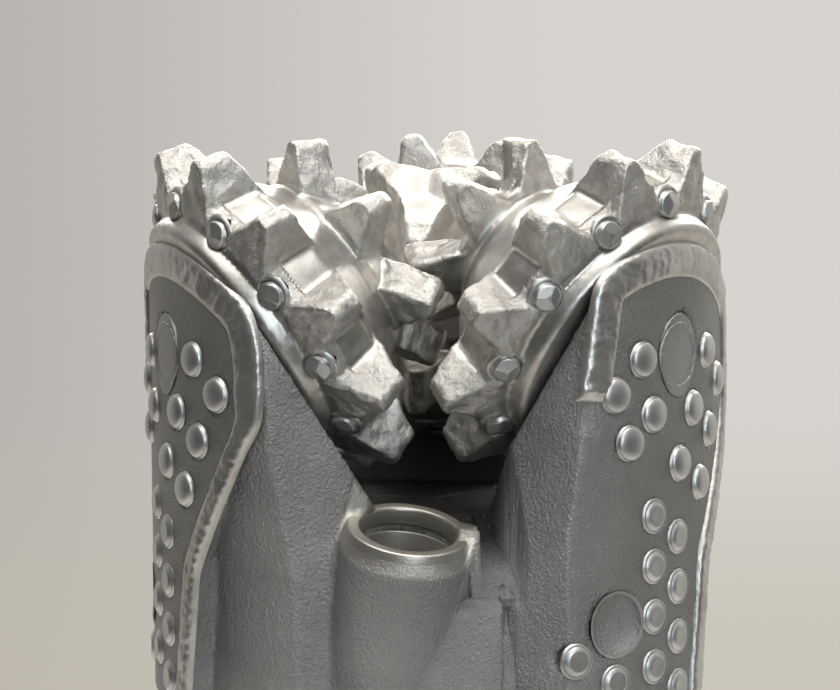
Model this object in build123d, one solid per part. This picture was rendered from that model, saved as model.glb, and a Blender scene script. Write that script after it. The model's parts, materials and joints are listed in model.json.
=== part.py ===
"""Milled-tooth tricone drill bit, 8-1/2 in gauge, standing on its threaded pin.

Lengths are millimetres, angles degrees. Z is the bit axis and points up from the pin end
toward the cutters, and the origin is the centre of the pin end face.
"""
import os
from math import cos, radians, sin, tan
from build123d import *

# ---- sizes every piece is worked out from -----------------------------------------------
RUN = 0.05                     # radial running clearance of a plain bearing
LOOSE = 0.3                    # gap between pieces that turn past each other without bearing

# API 4-1/2 regular pin: taper 3 in per foot on diameter, bored for drilling fluid
PIN_LENGTH = 107.95
PIN_LARGE_R = 117.48 / 2
PIN_SMALL_R = 90.49 / 2
PIN_BEVEL = 2.5
SHANK_R = 139.7 / 2            # shoulder that makes up against the drill collar
BORE_R = 28.6
BORE_DEPTH = 160.0             # pin bore, ending in the plenum below the nozzle passages
PLENUM = (175.0, 15.0)         # height and radius of the plenum's crown

# journals: axes lean down and outward by JOURNAL_PITCH and miss the bit axis by OFFSET
APEX_Z = 336.0
JOURNAL_PITCH = 33.0
OFFSET = 4.0
LEG_AZIMUTHS = (210.0, 330.0, 90.0)
U_LEG = 98.0                   # distance along the journal axis to the leg's inner face
U_SEAL = 88.0                  # end of the seal land
U_MAIN = 62.0                  # end of the main bearing
U_FLANGE = 51.0                # thrust face
U_PILOT = 41.0                 # end of the pilot pin
SEAL_LAND_R = 29.0
MAIN_R = 26.0
PILOT_R = 14.0
BALL_R = 5.5
RACE_R = 22.0                  # radius of the ring of balls
RACE_U = 56.5
BALLS = 11
BUSH_WALL = 3.0                # main and pilot bushings
WASHER = 1.9                   # thrust washer thickness
SEAL_R = 2.35                  # O-ring section

# cones: outline values are (along the journal axis, radius), outward from the apex
U_BACK = 96.8                  # back face of the cone, a seal gap away from the leg
HEEL_TEETH = 11
TOOTH_CREST = 7.5              # thickness of a tooth at its crest
TOOTH_FLANK = 22.0             # angle of each flank to the middle of the tooth
TRIMMER_R = 5.2                # carbide trimmers between the heel teeth
TRIMMER_DEPTH = 8.0

# leg and body forging
LEG_OD_R = 105.5               # raised pad that carries the inserts
LEG_SIDE_R = 95.0              # the arm beside the pad
LOBE_R = 52.5                  # shirttail lobe, round the journal axis
BODY_R = 87.0
BODY_TOP = 222.0
SECTOR = (-36.0, 84.0)         # azimuths, from the leg's middle, of its two weld faces
CONE_ROOM = 3.0                # room between the teeth and the body

# nozzle boss: one on each forging, 60 degrees round from the leg
PORT_AZIMUTH = 60.0
PORT_RADIUS = 80.0
PORT_Z = 222.0
PORT_OUT = 15.5                # lean away from the bit axis
PORT_SIDE = 9.7                # lean round the bit, toward the next leg
PORT_R = 17.0
PORT_DEPTH = 36.0
GROOVE = (6.0, 3.0, 1.2)       # retaining groove: depth down the port, width, how deep it is cut
PASSAGE_R = 12.5
BOSS_R = 23.5
BOSS_FACE_R = 21.0
BOSS_CHAMFER = 7.0

# wear inserts on the leg: azimuth from the leg's middle, height
DOME_R = 6.0
DOME_RISE = 2.6
DOMES = ((-10, 280), (13, 280), (-17, 268.5), (20.5, 268.5), (-7, 260.5), (6.5, 260.5),
         (-13.5, 251.5), (14.5, 251.5), (1.2, 242), (9.5, 233.5))
FLAT_R = 5.6
FLAT_RISE = 1.4
FLAT_TOP_Z = 225.0
FLAT_PITCH = 8.85
FLAT_COLUMNS = (-7.0, 0.5)
FLATS = 8
LOW_FLATS = ((-17.3, 169), (-26, 178))
INSERT_DEPTH = 7.0

# grease reservoir in the back of each leg, and the hole the balls are loaded through
RESERVOIR_AZIMUTH = -17.0
RESERVOIR_Z = 189.0
RESERVOIR_R = 10.8
RESERVOIR_DEPTH = 27.0
PLUG_R = 6.2
PLUG_HEAD_R = 11.3
PLUG_HEAD_START = 42.0         # from the race to the foot of the plug's weld
BEAD_WIDTH = 5.0               # weld beads that join the forgings
BEAD_DEPTH = 5.0
HARDFACE_RISE = 1.6            # carbide weld round the lobe and down its leading edge
HARDFACE_WIDTH = 10.0
EDGE_WIDTH = 7.0


# ---- frames ---------------------------------------------------------------------------------
def radial(azimuth):
    return Vector(cos(radians(azimuth)), sin(radians(azimuth)), 0)


def journal_plane(azimuth=0.0):
    """Frame of one journal: Z runs outward along its axis, X is on its upper side."""
    er, et = radial(azimuth), radial(azimuth + 90)
    c, s = cos(radians(JOURNAL_PITCH)), sin(radians(JOURNAL_PITCH))
    up = Vector(0, 0, 1)
    return Plane(origin=up * APEX_Z + et * OFFSET, x_dir=er * s + up * c, z_dir=er * c - up * s)


def port_plane(azimuth=PORT_AZIMUTH):
    """Frame of one nozzle port: Z is its axis, pointing out of the mouth."""
    er, et = radial(azimuth), radial(azimuth + 90)
    axis = Vector(0, 0, 1) + er * tan(radians(PORT_OUT)) + et * tan(radians(PORT_SIDE))
    return Plane(origin=er * PORT_RADIUS + Vector(0, 0, PORT_Z), x_dir=et, z_dir=axis)


def face_plane(azimuth, z, radius):
    """Frame on the leg's outside, Z pointing straight out from the bit axis."""
    er = radial(azimuth)
    return Plane(origin=er * radius + Vector(0, 0, z), x_dir=radial(azimuth + 90), z_dir=er)


def turned(points):
    """Solid of revolution about Z from (height, radius) points."""
    outline = make_face(Polyline([(r, z) for z, r in points], close=True))
    return revolve(Plane.XZ * outline, Axis.Z)


def half_space(origin, outward, size=400.0):
    """Block filling the side of a plane that outward points to."""
    return Plane(origin=origin, z_dir=outward) * Pos(0, 0, size / 2) * Box(size, size, size)


def plane_cut(p1, p2, p3, keep):
    """Block on the far side of the plane through three points from the point keep."""
    normal = (p2 - p1).cross(p3 - p1).normalized()
    if normal.dot(keep - p1) > 0:
        normal = -normal
    return half_space(p1, normal)


def at(azimuth, z, radius):
    return radial(azimuth) * radius + Vector(0, 0, z)


# ---- cones -------------------------------------------------------------------------------------
# Each shell is listed from the nose to the heel. The three differ so that the tooth rows of one
# run in the grooves of the other two.
NOSES = {
    1: ((34, 0), (34, 8), (38, 17.5), (42, 28.5), (49, 36.5), (52.5, 37.5)),
    2: ((29.5, 0), (29.5, 7.5), (33, 12), (32, 20), (31, 23), (36.5, 29.5), (40.5, 26),
        (43, 27.5), (50, 37), (54, 40.5)),
    3: ((6, 0), (6.5, 6), (12.5, 13.5), (20, 18), (26.5, 19.5), (34.5, 14), (40, 22),
        (42.5, 27.5), (49.5, 36.5), (55, 38.5)),
}
HEEL = ((64, 49.5), (66, 53), (84.9, 57.4), (90.2, 49.6), (91.2, 50.4), (95.4, 49.8),
        (U_BACK, 48.4))

# A tooth row: the radial outline of the tooth (root and crest), how many, and where the first
# one stands, as an angle round the journal from its upper side. Heel teeth are the same on all.
HEEL_TOOTH = ((63, 48), (67, 67.4), (78.8, 70.8), (89.0, 52.6), (84, 48))
INNER_TEETH = {
    1: (((40, 25), (29.2, 43.6), (40.8, 50.6), (52, 34)), 7, 12.0),
    2: (((33.5, 20), (17.0, 35.0), (28.4, 41.0), (39, 26.5)), 7, -8.0),
    3: (((55, 37), (44.2, 52.8), (60.0, 63.4), (68, 48)), 9, 14.5),
}
# the third cone's point: blades that meet on its axis
SPEAR_TOOTH = ((0.5, 9), (1.5, 21.5), (11.5, 29.5), (26, 17), (22, 0), (3, 0))
SPEAR_TEETH = (3, 55.0)
PHASES = {1: -12.1, 2: 10.8, 3: -1.3}


def tooth(outline, crest_width=TOOTH_CREST, flank=TOOTH_FLANK):
    """One chisel tooth standing on the upper side of the cone.

    The outline is its side view; a wedge whose edge lies along the crest thins it upward.
    """
    side = extrude(Plane.XZ * make_face(Polyline([(r, u) for u, r in outline], close=True)),
                   amount=30, both=True)
    (u1, r1), (u2, r2) = outline[1], outline[2]
    along = Vector(r2 - r1, 0, u2 - u1).normalized()
    out = Vector(along.Z, 0, -along.X)
    depth, half = 45.0, crest_width / 2
    spread = half + depth * tan(radians(flank))
    top = Plane(origin=(r1, 0, u1), x_dir=(0, 1, 0), z_dir=along)
    sign = 1 if top.y_dir.dot(out) > 0 else -1
    lip = half * 0.45
    wedge = [(-half + lip, 0), (half - lip, 0), (half, -sign * lip), (spread, -sign * depth),
             (-spread, -sign * depth), (-half, -sign * lip)]
    blank = extrude(top * make_face(Polyline(wedge, close=True)), amount=60, both=True)
    return side & blank


def tooth_row(outline, count, phase, **kwargs):
    first = tooth(outline, **kwargs)
    return [Rot(0, 0, -(phase + i * 360 / count)) * first for i in range(count)]


def trimmer_seat():
    """Place of a trimmer on the gauge face, Z pointing out of the face."""
    (u1, r1), (u2, r2) = HEEL[2], HEEL[3]
    along = Vector(r2 - r1, 0, u2 - u1).normalized()
    return Plane(origin=((r1 + r2) / 2, 0, (u1 + u2) / 2), x_dir=(0, 1, 0),
                 z_dir=Vector(along.Z, 0, -along.X))


def trimmer_turns(cone):
    """Angles of the valleys between the heel teeth."""
    pitch = 360 / HEEL_TEETH
    return [Rot(0, 0, -(PHASES[cone] + (i + 0.5) * pitch)) for i in range(HEEL_TEETH)]


def torus_groove(section):
    return Pos(0, 0, RACE_U) * Torus(RACE_R, section)


def cone_bore():
    """Room inside a cone for its journal, bushings, balls, washer and seal."""
    face, race, bush = U_FLANGE - LOOSE - WASHER, RACE_R - 0.5 + LOOSE, MAIN_R + BUSH_WALL
    plain = turned(((U_PILOT - 0.8, 0), (U_PILOT - 0.8, PILOT_R + BUSH_WALL),
                    (face, PILOT_R + BUSH_WALL), (face, race), (U_MAIN, race), (U_MAIN, bush),
                    (U_SEAL + 0.4, bush), (U_SEAL + 0.4, SEAL_LAND_R + 5.2),
                    (U_BACK - 2.6, SEAL_LAND_R + 5.2), (U_BACK - 2.6, SEAL_LAND_R + 0.6),
                    (U_BACK + 1, SEAL_LAND_R + 0.6), (U_BACK + 1, 0)))
    return plain + torus_groove(BALL_R + RUN)


def make_cone(n):
    shell = turned(list(NOSES[n]) + list(HEEL) + [(U_BACK, 0)])
    outline, count, phase = INNER_TEETH[n]
    teeth = tooth_row(HEEL_TOOTH, HEEL_TEETH, PHASES[n])
    teeth += tooth_row(outline, count, phase)
    if n == 3:
        teeth += tooth_row(SPEAR_TOOTH, *SPEAR_TEETH)
    seat = trimmer_seat()
    hole = seat * Pos(0, 0, -TRIMMER_DEPTH) * Cylinder(
        TRIMMER_R, TRIMMER_DEPTH + 5, align=(Align.CENTER, Align.CENTER, Align.MIN))
    holes = [turn * hole for turn in trimmer_turns(n)]
    return (shell + teeth) - cone_bore() - holes


def make_trimmers(n):
    """Chisel-topped carbide buttons pressed into the gauge face."""
    body = Cylinder(TRIMMER_R, TRIMMER_DEPTH + 0.6, align=(Align.CENTER, Align.CENTER, Align.MIN))
    roof = extrude(Pos(0, 0, TRIMMER_DEPTH + 0.6) * Rectangle(7.0, 7.0), amount=1.8, taper=32)
    button = trimmer_seat() * Pos(0, 0, -TRIMMER_DEPTH) * (body + roof)
    return Compound(children=[turn * button for turn in trimmer_turns(n)])


def make_balls():
    ball = Pos(RACE_R, 0, RACE_U) * Sphere(BALL_R)
    return Compound(children=[Rot(0, 0, i * 360 / BALLS) * ball for i in range(BALLS)])


def ring(u0, u1, inner, outer):
    return turned(((u0, inner), (u0, outer), (u1, outer), (u1, inner)))


def make_main_bushing():
    return ring(U_MAIN + 0.2, U_SEAL, MAIN_R + RUN, MAIN_R + BUSH_WALL)


def make_pilot_bushing():
    return ring(U_PILOT - 0.8, U_FLANGE - LOOSE - WASHER - 0.2, PILOT_R + RUN,
                PILOT_R + BUSH_WALL)


def make_thrust_washer():
    return ring(U_FLANGE - LOOSE - WASHER, U_FLANGE - LOOSE, PILOT_R + LOOSE, RACE_R - 0.5)


def make_seal():
    return Pos(0, 0, U_SEAL + 3.2) * Torus(SEAL_LAND_R + SEAL_R, SEAL_R)


# ---- leg forging ----------------------------------------------------------------------------
OD_LINE = ((134, 84), (154, LEG_OD_R), (330, LEG_OD_R))
SIDE_LINE = ((134, 80), (152, LEG_SIDE_R), (200, LEG_SIDE_R + 0.5), (225, 99), (250, 103),
             (330, 103))
BODY_LINE = ((PIN_LENGTH, SHANK_R - 2.2), (PIN_LENGTH + 2.2, SHANK_R), (PIN_LENGTH + 20, SHANK_R),
             (150, 81), (160, BODY_R), (214, BODY_R), (BODY_TOP - 3, BODY_R - 4),
             (BODY_TOP, BODY_R - 9))
# leading edge of the pad, from the lobe down: azimuth and height
PAD_EDGE = ((34.0, 273.5), (13.0, 209.0), (8.4, 155.0))


def outside_radius(z):
    """Radius of the leg's outside at height z."""
    for (z0, r0), (z1, r1) in zip(OD_LINE, OD_LINE[1:]):
        if z <= z1:
            return r0 + (z - z0) * (r1 - r0) / (z1 - z0)


def solid_under(line, offset=0.0):
    """Solid of revolution under an outside line, grown by offset."""
    points = [(z, r + offset) for z, r in line]
    return turned([(points[0][0], 0)] + points + [(points[-1][0], 0)])


def journal_pin():
    """Bearing pin with its seal land, ball race and pilot."""
    race = RACE_R - 0.5
    pin = turned(((U_LEG + 4, 0), (U_LEG + 4, SEAL_LAND_R), (U_LEG, SEAL_LAND_R),
                  (U_SEAL + 0.4, SEAL_LAND_R), (U_SEAL + 0.4, MAIN_R),
                  (U_MAIN + LOOSE, MAIN_R), (U_MAIN + LOOSE, race), (U_FLANGE, race), (U_FLANGE, PILOT_R),
                  (U_PILOT + 1, PILOT_R), (U_PILOT, PILOT_R - 1), (U_PILOT, 0)))
    return pin - torus_groove(BALL_R + LOOSE)


def lobe(radius=LOBE_R):
    """Shirttail lobe seen along the journal: round on top, straight sides running down."""
    bottom = (Align.CENTER, Align.CENTER, Align.MIN)
    return (Cylinder(radius, 300, align=bottom)
            + Box(300, 2 * radius, 300, align=(Align.MAX, Align.CENTER, Align.MIN)))


def pad_side(shift=0.0):
    """Room beyond the pad's leading edge, moved in by shift; the edge bends once."""
    cuts = []
    for (a0, z0), (a1, z1) in zip(PAD_EDGE, PAD_EDGE[1:]):
        p0, p1 = at(a0, z0, LEG_OD_R), at(a1, z1, LEG_OD_R)
        lift = radial((a0 + a1) / 2 - 90) * shift
        cuts.append(plane_cut(p0 + lift, p1 + lift, p0 * 0.5 + p1 * 0.5 + radial(a0) * 30 + lift,
                              at(-10, z1, 90)))
    bend = PAD_EDGE[1][1]
    above = Pos(0, 0, bend) * Cylinder(200, 200, align=(Align.CENTER, Align.CENTER, Align.MIN))
    return [cuts[0] & above, cuts[1] - above]


def trailing_side():
    return plane_cut(at(-23.3, 269, 105), at(-32.4, 169, 105), at(-40, 200, 70),
                     at(0, 200, 90))


def leg_arm():
    """The arm: a side of lower radius with the raised insert pad on it."""
    arm = (solid_under(OD_LINE) - pad_side()) + solid_under(SIDE_LINE)
    return (arm & (journal_plane() * Pos(0, 0, U_LEG) * lobe())) - trailing_side()


def sector():
    """Block between the two weld faces of one forging."""
    a, b = SECTOR
    far = 400.0
    points = [(0, 0)] + [(far * cos(radians(t)), far * sin(radians(t)))
                         for t in (a, (a + b) / 2, b)]
    return extrude(make_face(Polyline(points, close=True)), amount=400)


def pin():
    """Tapered pin below the shoulder; the thread is cut on it."""
    root = PIN_LARGE_R - 1.5
    return turned(((0, 0), (0, PIN_SMALL_R - PIN_BEVEL), (PIN_BEVEL, PIN_SMALL_R),
                   (PIN_LENGTH - 12, root), (PIN_LENGTH + 1, root), (PIN_LENGTH + 1, 0)))


def boss():
    """Nozzle boss: a leaning column with a turned face and chamfer at its top."""
    length = 110.0
    column = turned(((-length, 0), (-length, BOSS_R + 3), (-BOSS_CHAMFER, BOSS_R),
                     (0, BOSS_FACE_R), (0, 0)))
    room = solid_under(((PIN_LENGTH + 22, 78), (154, LEG_OD_R), (260, LEG_OD_R + 6)))
    return (port_plane() * column) & room


def cone_room(azimuth):
    """Swept room of a cone and its teeth."""
    g = CONE_ROOM
    return journal_plane(azimuth) * turned(
        ((20, 0), (20, 44), (58, 66), (64, 67.6 + g), (80, 71.2 + g), (94, 58),
         (U_LEG, 54), (U_LEG, 0)))


def waterway():
    """Port pocket and the passage from it down to the plenum above the pin bore."""
    bottom = (Align.CENTER, Align.CENTER, Align.MIN)
    mouth = port_plane()
    pocket = mouth * Pos(0, 0, -PORT_DEPTH) * Cylinder(PORT_R, PORT_DEPTH + 5, align=bottom)
    depth, width, cut = GROOVE
    pocket += mouth * Pos(0, 0, -depth - width) * Cylinder(PORT_R + cut, width, align=bottom)
    start = mouth.origin - mouth.z_dir * (PORT_DEPTH - 2)
    goal = Vector(0, 0, BORE_DEPTH) + radial(PORT_AZIMUTH) * 12
    run = start - goal
    passage = Plane(origin=goal, z_dir=run) * Cylinder(PASSAGE_R, run.length, align=bottom)
    return pocket + passage


def face_holes(azimuth, z, radius, depth):
    """Drilled hole straight into the leg's outside."""
    return face_plane(azimuth, z, outside_radius(z)) * Pos(0, 0, -depth) * Cylinder(
        radius, depth + 12, align=(Align.CENTER, Align.CENTER, Align.MIN))


def flat_places():
    return [(FLAT_COLUMNS[i % 2], FLAT_TOP_Z - i * FLAT_PITCH)
            for i in range(FLATS)] + list(LOW_FLATS)


def breaker_slot():
    """Flat notch in the back of the leg that the bit breaker plate holds."""
    return face_plane(0, PIN_LENGTH + 33, 86) * Box(
        70, 16, 60, align=(Align.CENTER, Align.CENTER, Align.MIN))


def ball_hole(radius, start=-4.5, length=110.0):
    """Loading hole from the back of the leg down to the ball race."""
    plane = journal_plane()
    race = plane.from_local_coords(Vector(17, 0, RACE_U))
    back = plane.from_local_coords(Vector(10.5, 2.2, 119))
    axis = Plane(origin=race, z_dir=back - race)
    return axis * Pos(0, 0, start) * Cylinder(
        radius, length, align=(Align.CENTER, Align.CENTER, Align.MIN))


def seam_bead():
    """Weld bead along the joint between this forging and the next."""
    line = [(PIN_LENGTH + 6, SHANK_R)] + list(BODY_LINE[2:-1])
    strip = Rot(0, 0, SECTOR[1]) * Pos(0, 0, PIN_LENGTH) * Box(
        200, BEAD_WIDTH, 200, align=(Align.MIN, Align.CENTER, Align.MIN))
    bead = (solid_under(line, 0.8) & strip) - solid_under(line, -BEAD_DEPTH)
    return bead - boss() - Rot(0, 0, 120) * leg_arm()


def hardfacing_room(rise):
    """Band of carbide weld round the lobe and down the leading edge of the pad."""
    skin = solid_under(OD_LINE, rise) - solid_under(OD_LINE, -1.5)
    plane = journal_plane() * Pos(0, 0, U_LEG + 0.5)
    ring_band = plane * (lobe(LOBE_R) - Pos(0, 0, -1) * lobe(LOBE_R - HARDFACE_WIDTH))
    upper = plane * Pos(-14, 0, 0) * Box(
        200, 200, 200, align=(Align.MIN, Align.CENTER, Align.MIN))
    top = skin & (ring_band & upper)
    high, low = pad_side(EDGE_WIDTH)
    lobe_room = plane * lobe()
    edge = (skin & (high + low) & lobe_room) - pad_side()
    below = Pos(0, 0, 156) * Cylinder(200, PAD_EDGE[0][1] - 156, align=(
        Align.CENTER, Align.CENTER, Align.MIN))
    return top + (edge & below)


def make_forging():
    """One third of the bit: pin, shank, body, nozzle boss, arm and journal."""
    whole = pin() + solid_under(BODY_LINE) + leg_arm() + boss()
    crown_z, crown_r = PLENUM
    whole = whole - turned(((0, 0), (0, BORE_R), (BORE_DEPTH, BORE_R), (crown_z, crown_r),
                            (crown_z, 0)))
    third = whole & sector()
    for azimuth in (0, 120, 240):
        third = third - cone_room(azimuth)
    third = third - waterway() - breaker_slot()
    bead = seam_bead()
    third = third - bead - Rot(0, 0, -120) * bead
    return third + journal_plane() * journal_pin()


def insert_holes():
    return ([face_holes(a, z, DOME_R, INSERT_DEPTH) for a, z in DOMES]
            + [face_holes(a, z, FLAT_R, INSERT_DEPTH) for a, z in flat_places()])


def make_leg(forging):
    """The forging drilled for its inserts, ball hole and grease reservoir."""
    cuts = insert_holes()
    cuts += [face_holes(RESERVOIR_AZIMUTH, RESERVOIR_Z, RESERVOIR_R, RESERVOIR_DEPTH)]
    cuts += [ball_hole(PLUG_R), ball_hole(PLUG_HEAD_R, start=PLUG_HEAD_START)]
    return forging - hardfacing_room(HARDFACE_RISE) - cuts


def make_plug(forging):
    """Pin that keeps the balls in their race."""
    return forging & ball_hole(PLUG_R - 0.02, length=PLUG_HEAD_START + 4.5)


def make_plug_weld(forging):
    return (forging & ball_hole(PLUG_HEAD_R, start=PLUG_HEAD_START)) - hardfacing_room(
        HARDFACE_RISE)


def make_hardfacing():
    return hardfacing_room(HARDFACE_RISE) - insert_holes()


def insert(radius, rise, top_radius, domed):
    """Carbide button, Z up, its seat face at Z = 0."""
    bottom = (Align.CENTER, Align.CENTER, Align.MIN)
    blank = Pos(0, 0, -INSERT_DEPTH) * Cylinder(radius, INSERT_DEPTH + rise, align=bottom)
    if domed:
        ball_r = (radius ** 2 + rise ** 2) / (2 * rise)
        return blank & (Pos(0, 0, rise - ball_r) * Sphere(ball_r))
    return chamfer(blank.edges().group_by(Axis.Z)[-1], radius - top_radius)


def make_domes():
    button = insert(DOME_R, DOME_RISE, 0, True)
    return Compound(children=[face_plane(a, z, outside_radius(z)) * button for a, z in DOMES])


def make_flats():
    button = insert(FLAT_R, FLAT_RISE, FLAT_R - 1.1, False)
    return Compound(children=[face_plane(a, z, outside_radius(z)) * button
                              for a, z in flat_places()])


def reservoir_piece(outline):
    """Turned piece in the grease reservoir from (depth, radius) points."""
    mouth = face_plane(RESERVOIR_AZIMUTH, RESERVOIR_Z, outside_radius(RESERVOIR_Z))
    return mouth * turned([(-depth, r) for depth, r in outline])


def make_cap():
    """Pressed-in cap with a dished outer face."""
    dish = 30.0
    mouth = face_plane(RESERVOIR_AZIMUTH, RESERVOIR_Z, outside_radius(RESERVOIR_Z))
    disc = reservoir_piece(((1.0, 0), (1.0, RESERVOIR_R), (9.0, RESERVOIR_R), (9.0, 0)))
    return disc - mouth * Pos(0, 0, dish - 1.0 - 2.2) * Sphere(dish)


def make_snap_ring():
    return reservoir_piece(((9.0, RESERVOIR_R - 2), (9.0, RESERVOIR_R), (10.6, RESERVOIR_R),
                            (10.6, RESERVOIR_R - 2)))


def make_diaphragm():
    """Rubber cup between the grease and the drilling fluid."""
    r = RESERVOIR_R
    return reservoir_piece(((10.6, r - 3), (10.6, r), (14, r), (24, r - 3.5), (24, 0),
                            (22.4, 0), (22.4, r - 5)))


# ---- build ----------------------------------------------------------------------------------
def save(name, shape):
    export_step(shape, os.path.join("parts", name + ".step"))


def main():
    os.makedirs("parts", exist_ok=True)
    forging = make_forging()
    fixed = {
        "leg": make_leg(forging),
        "ball_plug": make_plug(forging),
        "plug_weld": make_plug_weld(forging),
        "weld_seam": seam_bead(),
        "hardfacing": make_hardfacing(),
        "dome_inserts": make_domes(),
        "flat_inserts": make_flats(),
        "seal": journal_plane() * make_seal(),
        "reservoir_cap": make_cap(),
        "snap_ring": make_snap_ring(),
        "diaphragm": make_diaphragm(),
    }
    turning = {
        "main_bushing": make_main_bushing(),
        "pilot_bushing": make_pilot_bushing(),
        "thrust_washer": make_thrust_washer(),
        "balls": make_balls(),
    }
    for n, azimuth in enumerate(LEG_AZIMUTHS, start=1):
        turn = Rot(0, 0, azimuth)
        for name, shape in fixed.items():
            save(f"{name}_{n}", turn * shape)
        for name, shape in turning.items():
            save(f"{name}_{n}", turn * (journal_plane() * shape))
        save(f"cone_{n}", turn * (journal_plane() * make_cone(n)))
        save(f"trimmers_{n}", turn * (journal_plane() * make_trimmers(n)))


main()
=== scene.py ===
import json
import math

import bmesh
import bpy
import numpy as np
from mathutils import Matrix, Vector


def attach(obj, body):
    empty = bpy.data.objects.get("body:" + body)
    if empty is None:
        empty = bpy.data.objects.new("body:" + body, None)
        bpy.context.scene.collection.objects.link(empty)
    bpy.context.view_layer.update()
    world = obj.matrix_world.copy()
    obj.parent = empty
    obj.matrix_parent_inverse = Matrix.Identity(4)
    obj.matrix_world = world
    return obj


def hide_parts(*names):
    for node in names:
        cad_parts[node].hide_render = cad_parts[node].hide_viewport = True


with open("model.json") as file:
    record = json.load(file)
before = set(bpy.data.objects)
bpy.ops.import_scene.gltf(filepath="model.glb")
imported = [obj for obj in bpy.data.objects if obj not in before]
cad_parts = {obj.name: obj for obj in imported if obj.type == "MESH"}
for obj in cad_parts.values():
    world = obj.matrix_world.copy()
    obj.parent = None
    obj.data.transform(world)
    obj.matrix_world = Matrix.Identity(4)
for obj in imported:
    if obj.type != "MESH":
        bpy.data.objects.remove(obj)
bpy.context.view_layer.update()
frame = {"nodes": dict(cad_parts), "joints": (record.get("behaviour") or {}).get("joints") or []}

BIT = "bit_body"
CONES = (1, 2, 3)

# ---- camera and daylight studio -------------------------------------------------------------
# The bit stands on its pin on a pale bench. The camera is level with the cutters, a little over
# a metre away, and looks a few degrees down between the first two legs.
journals = {j["child"]: (Vector(j["pos_m"]), Vector(j["axis"]).normalized())
            for j in frame["joints"]}
apex = journals["cone_1_body"][0].z
view_turn, view_drop, view_pan, view_roll = (math.radians(a) for a in (7.2, 5.2, 0.3, -0.5))
distance, rise, lens = 1.124, 0.045, 130.7

camera = bpy.data.objects.new("camera", bpy.data.cameras.new("camera"))
camera.data.lens = lens
camera.data.sensor_width = 36.0
camera.data.clip_start = 0.05
heading = view_turn + view_pan
forward = Vector((-math.sin(heading) * math.cos(view_drop),
                  math.cos(heading) * math.cos(view_drop), -math.sin(view_drop)))
side = Vector((math.cos(heading), math.sin(heading), 0))
above = side.cross(forward)
across = side * math.cos(view_roll) + above * math.sin(view_roll)
upward = above * math.cos(view_roll) - side * math.sin(view_roll)
camera.matrix_world = Matrix((
    (across.x, upward.x, -forward.x, distance * math.sin(view_turn)),
    (across.y, upward.y, -forward.y, -distance * math.cos(view_turn)),
    (across.z, upward.z, -forward.z, apex + rise),
    (0, 0, 0, 1)))
bpy.context.scene.collection.objects.link(camera)
bpy.context.scene.camera = camera
bpy.context.scene.view_settings.view_transform = "Standard"


class Socket:
    """A socket of a node tree that can be used in sums, products and comparisons."""

    def __init__(self, tree, socket):
        self.tree, self.socket = tree, socket

    def math(self, operation, *values):
        return self.tree.add("ShaderNodeMath", {"operation": operation}, values)

    def __add__(self, other):
        return self.math("ADD", self, other)

    def __radd__(self, other):
        return self.math("ADD", other, self)

    def __sub__(self, other):
        return self.math("SUBTRACT", self, other)

    def __rsub__(self, other):
        return self.math("SUBTRACT", other, self)

    def __mul__(self, other):
        return self.math("MULTIPLY", self, other)

    def __rmul__(self, other):
        return self.math("MULTIPLY", other, self)

    def __truediv__(self, other):
        return self.math("DIVIDE", self, other)

    def __rtruediv__(self, other):
        return self.math("DIVIDE", other, self)

    def clamped(self, low, high, start=0.0, end=1.0):
        """Smooth step of this value from low to high, running from start to end."""
        return self.tree.add("ShaderNodeMapRange", {"interpolation_type": "SMOOTHSTEP"},
                             {"Value": self, "From Min": low, "From Max": high,
                              "To Min": start, "To Max": end})


class Tree:
    """Adds nodes to a material, world or geometry tree."""

    def __init__(self, nodes_owner):
        self.nodes = nodes_owner.nodes
        self.links = nodes_owner.links

    def add(self, kind, settings=(), inputs=(), out=0):
        """One node: its settings are set first, then its sockets' values or links."""
        node = self.nodes.new(kind)
        for name, value in dict(settings).items():
            setattr(node, name, value)
        pairs = inputs.items() if isinstance(inputs, dict) else enumerate(inputs)
        for name, value in pairs:
            if isinstance(value, Socket):
                self.links.new(value.socket, node.inputs[name])
            elif value is not None:
                node.inputs[name].default_value = value
        return Socket(self, node.outputs[out]) if len(node.outputs) else node

    def noise(self, place, scale, detail=3.0, rough=0.55, out="Fac"):
        return self.add("ShaderNodeTexNoise", {}, {"Vector": place, "Scale": scale,
                        "Detail": detail, "Roughness": rough}, out)

    def mix(self, factor, first, second):
        """Colour mix of two colours or links."""
        node = self.nodes.new("ShaderNodeMix")
        node.data_type = "RGBA"
        for socket, value in ((node.inputs[0], factor), (node.inputs[6], first),
                              (node.inputs[7], second)):
            if isinstance(value, Socket):
                self.links.new(value.socket, socket)
            else:
                socket.default_value = value if isinstance(value, float) else (*value, 1)
        return Socket(self, node.outputs[2])


def material_tree(name):
    material = bpy.data.materials.new(name)
    material.use_nodes = True
    material.node_tree.nodes.clear()
    return material, Tree(material.node_tree)


def finish_surface(tree, base, rough, metal, bump=None, height=0.0004, **fixed):
    """The Principled surface and the output every finish ends in."""
    inputs = {"Base Color": base, "Roughness": rough, "Metallic": metal, **fixed}
    if bump is not None:
        inputs["Normal"] = tree.add("ShaderNodeBump", {}, {"Height": bump, "Distance": height,
                                    "Strength": 1.0}, "Normal")
    surface = tree.add("ShaderNodeBsdfPrincipled", {}, inputs)
    tree.add("ShaderNodeOutputMaterial", {}, {"Surface": surface})


def grey(level, warm=0.0):
    return (level * (1 + warm), level, level * (1 - 1.6 * warm))


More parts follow.
